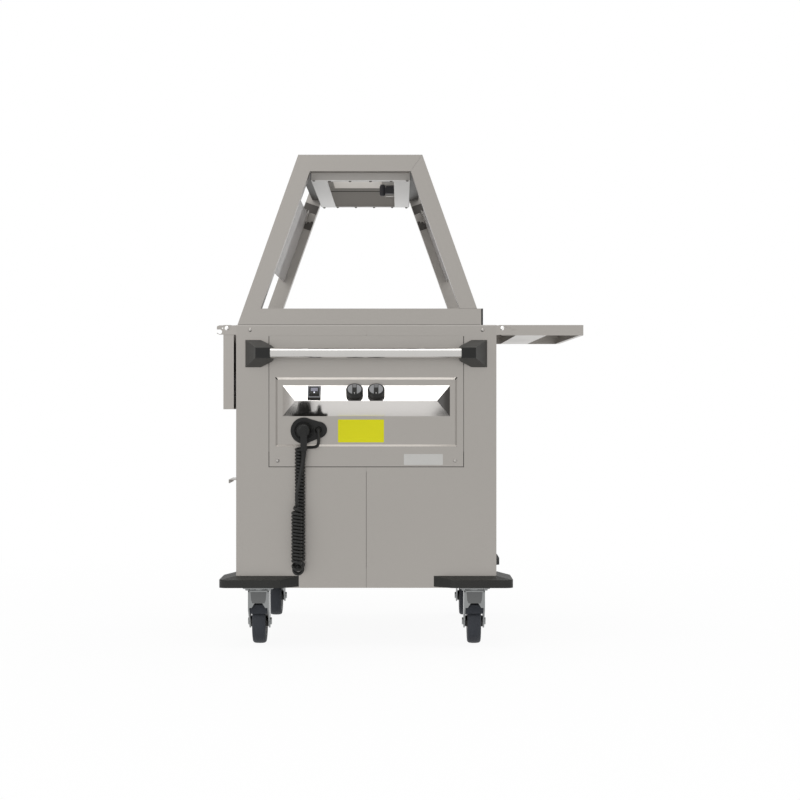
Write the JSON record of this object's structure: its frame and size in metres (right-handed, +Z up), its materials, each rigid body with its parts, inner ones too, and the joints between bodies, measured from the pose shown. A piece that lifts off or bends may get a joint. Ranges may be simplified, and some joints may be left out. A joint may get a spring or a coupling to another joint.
{
  "type": "buffet trolley",
  "caption": "Heated stainless buffet trolley with sneeze guards, lamp bridge, folding tray slides, side doors, push handle, parked plug on a curly cord and swivel casters.",
  "frame": {"origin": "middle of the trolley's footprint on the floor, cord and plug left out", "axes": "+Z up; -Y towards the push handle and the controls; +X towards the raised tray slide"},
  "size_m": [1.0242, 0.9859, 1.3758],
  "materials": {
    "cabinet_steel": "brushed stainless steel, warm grey",
    "polished_steel": "polished stainless steel",
    "lamp_cover_steel": "pale brushed stainless steel",
    "black_plastic": "black moulded plastic",
    "bumper_rubber": "black bumper rubber",
    "zinc_plated_steel": "zinc-plated pressed steel",
    "wheel_rubber": "slate grey wheel rubber on a grey rim",
    "tinted_glass": "grey toughened glass",
    "heating_plate": "cast heating plate",
    "lamp_panel": "matt grey radiant panel",
    "control_body": "pale moulded control body",
    "cord_jacket": "black cord jacket"
  },
  "bodies": {
    "trolley": {"deck": "cabinet_steel", "wells": "polished_steel", "heating_plates": "heating_plate", "shell_left": "cabinet_steel", "shell_right": "cabinet_steel", "chassis_tray": "cabinet_steel", "service_panel": "cabinet_steel", "control_console": "polished_steel", "inner_ceiling": "cabinet_steel", "handle_tube": "polished_steel", "handle_brackets": "black_plastic", "corner_bumpers": "bumper_rubber", "caster_plates": "zinc_plated_steel", "frame_front": "cabinet_steel", "frame_rear": "cabinet_steel", "frame_right_legs": "cabinet_steel", "frame_end_caps": "black_plastic", "lamp_housing": "cabinet_steel", "lamp_cover": "lamp_cover_steel", "lamp_panel": "lamp_panel", "lamp_switch_bezel": "black_plastic", "bearing_plates": "black_plastic", "notch_plates": "cabinet_steel", "door_pins": "polished_steel", "tray_arms": "cabinet_steel", "side_button": "bumper_rubber", "switch_bezel": "black_plastic", "thermostats": "control_body", "parking_socket": "black_plastic", "fixing_screws": "polished_steel", "plug": "black_plastic", "cord_lead": "cord_jacket", "cord_curls": "cord_jacket", "cord_tail": "cord_jacket"},
    "caster_front_left": {"fork_front_left": "zinc_plated_steel"},
    "wheel_body_front_left": {"wheel_front_left": "wheel_rubber"},
    "caster_front_right": {"fork_front_right": "zinc_plated_steel"},
    "wheel_body_front_right": {"wheel_front_right": "wheel_rubber"},
    "caster_rear_left": {"fork_rear_left": "zinc_plated_steel"},
    "wheel_body_rear_left": {"wheel_rear_left": "wheel_rubber"},
    "caster_rear_right": {"fork_rear_right": "zinc_plated_steel"},
    "wheel_body_rear_right": {"wheel_rear_right": "wheel_rubber"},
    "pedal_left": {"brake_pedal_left": "black_plastic"},
    "pedal_right": {"brake_pedal_right": "black_plastic"},
    "knob_body_left": {"knob_left": "black_plastic"},
    "knob_body_right": {"knob_right": "black_plastic"},
    "main_rocker": {"switch_rocker": "black_plastic"},
    "lamp_rocker_body": {"lamp_rocker": "black_plastic"},
    "guard_left": {"pane_left": "tinted_glass", "pane_clamps_left": "polished_steel"},
    "guard_right": {"pane_right": "tinted_glass", "pane_clamps_right": "polished_steel"},
    "door_body_front": {"door_front": "cabinet_steel"},
    "door_body_rear": {"door_rear": "cabinet_steel"},
    "tray_carrier_left": {"pivot_bolts_left": "polished_steel"},
    "tray_body_left": {"tray_left": "cabinet_steel"},
    "tray_carrier_right": {"pivot_bolts_right": "polished_steel"},
    "tray_body_right": {"tray_right": "cabinet_steel"}
  },
  "joints": [
    {"name": "swivel_front_left", "type": "hinge", "parent": "trolley", "child": "caster_front_left", "pos_m": [-0.3983, -0.343, 0.155], "axis": [0, 0, 1], "continuous": true},
    {"name": "roll_front_left", "type": "hinge", "parent": "caster_front_left", "child": "wheel_body_front_left", "pos_m": [-0.3983, -0.307, 0.0625], "axis": [1, 0, 0], "continuous": true},
    {"name": "swivel_front_right", "type": "hinge", "parent": "trolley", "child": "caster_front_right", "pos_m": [0.2089, -0.343, 0.155], "axis": [0, 0, 1], "continuous": true},
    {"name": "roll_front_right", "type": "hinge", "parent": "caster_front_right", "child": "wheel_body_front_right", "pos_m": [0.2089, -0.307, 0.0625], "axis": [1, 0, 0], "continuous": true},
    {"name": "swivel_rear_left", "type": "hinge", "parent": "trolley", "child": "caster_rear_left", "pos_m": [-0.3983, 0.387, 0.155], "axis": [0, 0, 1], "continuous": true},
    {"name": "roll_rear_left", "type": "hinge", "parent": "caster_rear_left", "child": "wheel_body_rear_left", "pos_m": [-0.3983, 0.423, 0.0625], "axis": [1, 0, 0], "continuous": true},
    {"name": "swivel_rear_right", "type": "hinge", "parent": "trolley", "child": "caster_rear_right", "pos_m": [0.2089, 0.387, 0.155], "axis": [0, 0, 1], "continuous": true},
    {"name": "roll_rear_right", "type": "hinge", "parent": "caster_rear_right", "child": "wheel_body_rear_right", "pos_m": [0.2089, 0.423, 0.0625], "axis": [1, 0, 0], "continuous": true},
    {"name": "brake_left", "type": "hinge", "parent": "caster_front_left", "child": "pedal_left", "pos_m": [-0.3983, -0.361, 0.11], "axis": [1, 0, 0], "range_deg": [0, 12]},
    {"name": "brake_right", "type": "hinge", "parent": "caster_front_right", "child": "pedal_right", "pos_m": [0.2089, -0.361, 0.11], "axis": [1, 0, 0], "range_deg": [0, 12]},
    {"name": "turn_knob_left", "type": "hinge", "parent": "trolley", "child": "knob_body_left", "pos_m": [-0.1267, -0.4305, 0.7095], "axis": [0, -0.7071, 0.7071], "range_deg": [-270, 0]},
    {"name": "turn_knob_right", "type": "hinge", "parent": "trolley", "child": "knob_body_right", "pos_m": [-0.0667, -0.4305, 0.7095], "axis": [0, -0.7071, 0.7071], "range_deg": [-270, 0]},
    {"name": "press_main_switch", "type": "hinge", "parent": "trolley", "child": "main_rocker", "pos_m": [-0.2387, -0.42909, 0.70809], "axis": [1, 0, 0], "range_deg": [-13, 0]},
    {"name": "press_lamp_switch", "type": "hinge", "parent": "trolley", "child": "lamp_rocker_body", "pos_m": [0.0253, 0.197, 1.3405], "axis": [0, 1, 0], "range_deg": [-13, 0]},
    {"name": "tilt_guard_left", "type": "hinge", "parent": "trolley", "child": "guard_left", "pos_m": [-0.30157, 0.022, 1.27261], "axis": [0, 1, 0], "range_deg": [0, 45]},
    {"name": "tilt_guard_right", "type": "hinge", "parent": "trolley", "child": "guard_right", "pos_m": [0.07817, 0.022, 1.27261], "axis": [0, -1, 0], "range_deg": [0, 45]},
    {"name": "open_door_front", "type": "hinge", "parent": "trolley", "child": "door_body_front", "pos_m": [-0.4493, -0.341, 0.205], "axis": [0, 0, 1], "range_deg": [0, 100]},
    {"name": "open_door_rear", "type": "hinge", "parent": "trolley", "child": "door_body_rear", "pos_m": [-0.4493, 0.385, 0.205], "axis": [0, 0, -1], "range_deg": [0, 100]},
    {"name": "slide_tray_left", "type": "slide", "parent": "trolley", "child": "tray_carrier_left", "axis": [1, 0, 0], "range_m": [0, 0.0103]},
    {"name": "raise_tray_left", "type": "hinge", "parent": "tray_carrier_left", "child": "tray_body_left", "pos_m": [-0.4853, 0.022, 0.891], "axis": [0, 1, 0], "range_deg": [0, 90]},
    {"name": "slide_tray_right", "type": "slide", "parent": "trolley", "child": "tray_carrier_right", "axis": [1, 0, 0], "range_m": [0, 0.0103]},
    {"name": "fold_tray_right", "type": "hinge", "parent": "tray_carrier_right", "child": "tray_body_right", "pos_m": [0.2856, 0.022, 0.891], "axis": [0, 1, 0], "range_deg": [0, 90]}
  ],
  "couplings": [
    {"joint": "slide_tray_left", "follows": "raise_tray_left", "m_per_rad": 0.0065572},
    {"joint": "slide_tray_right", "follows": "fold_tray_right", "m_per_rad": 0.0065572}
  ]
}
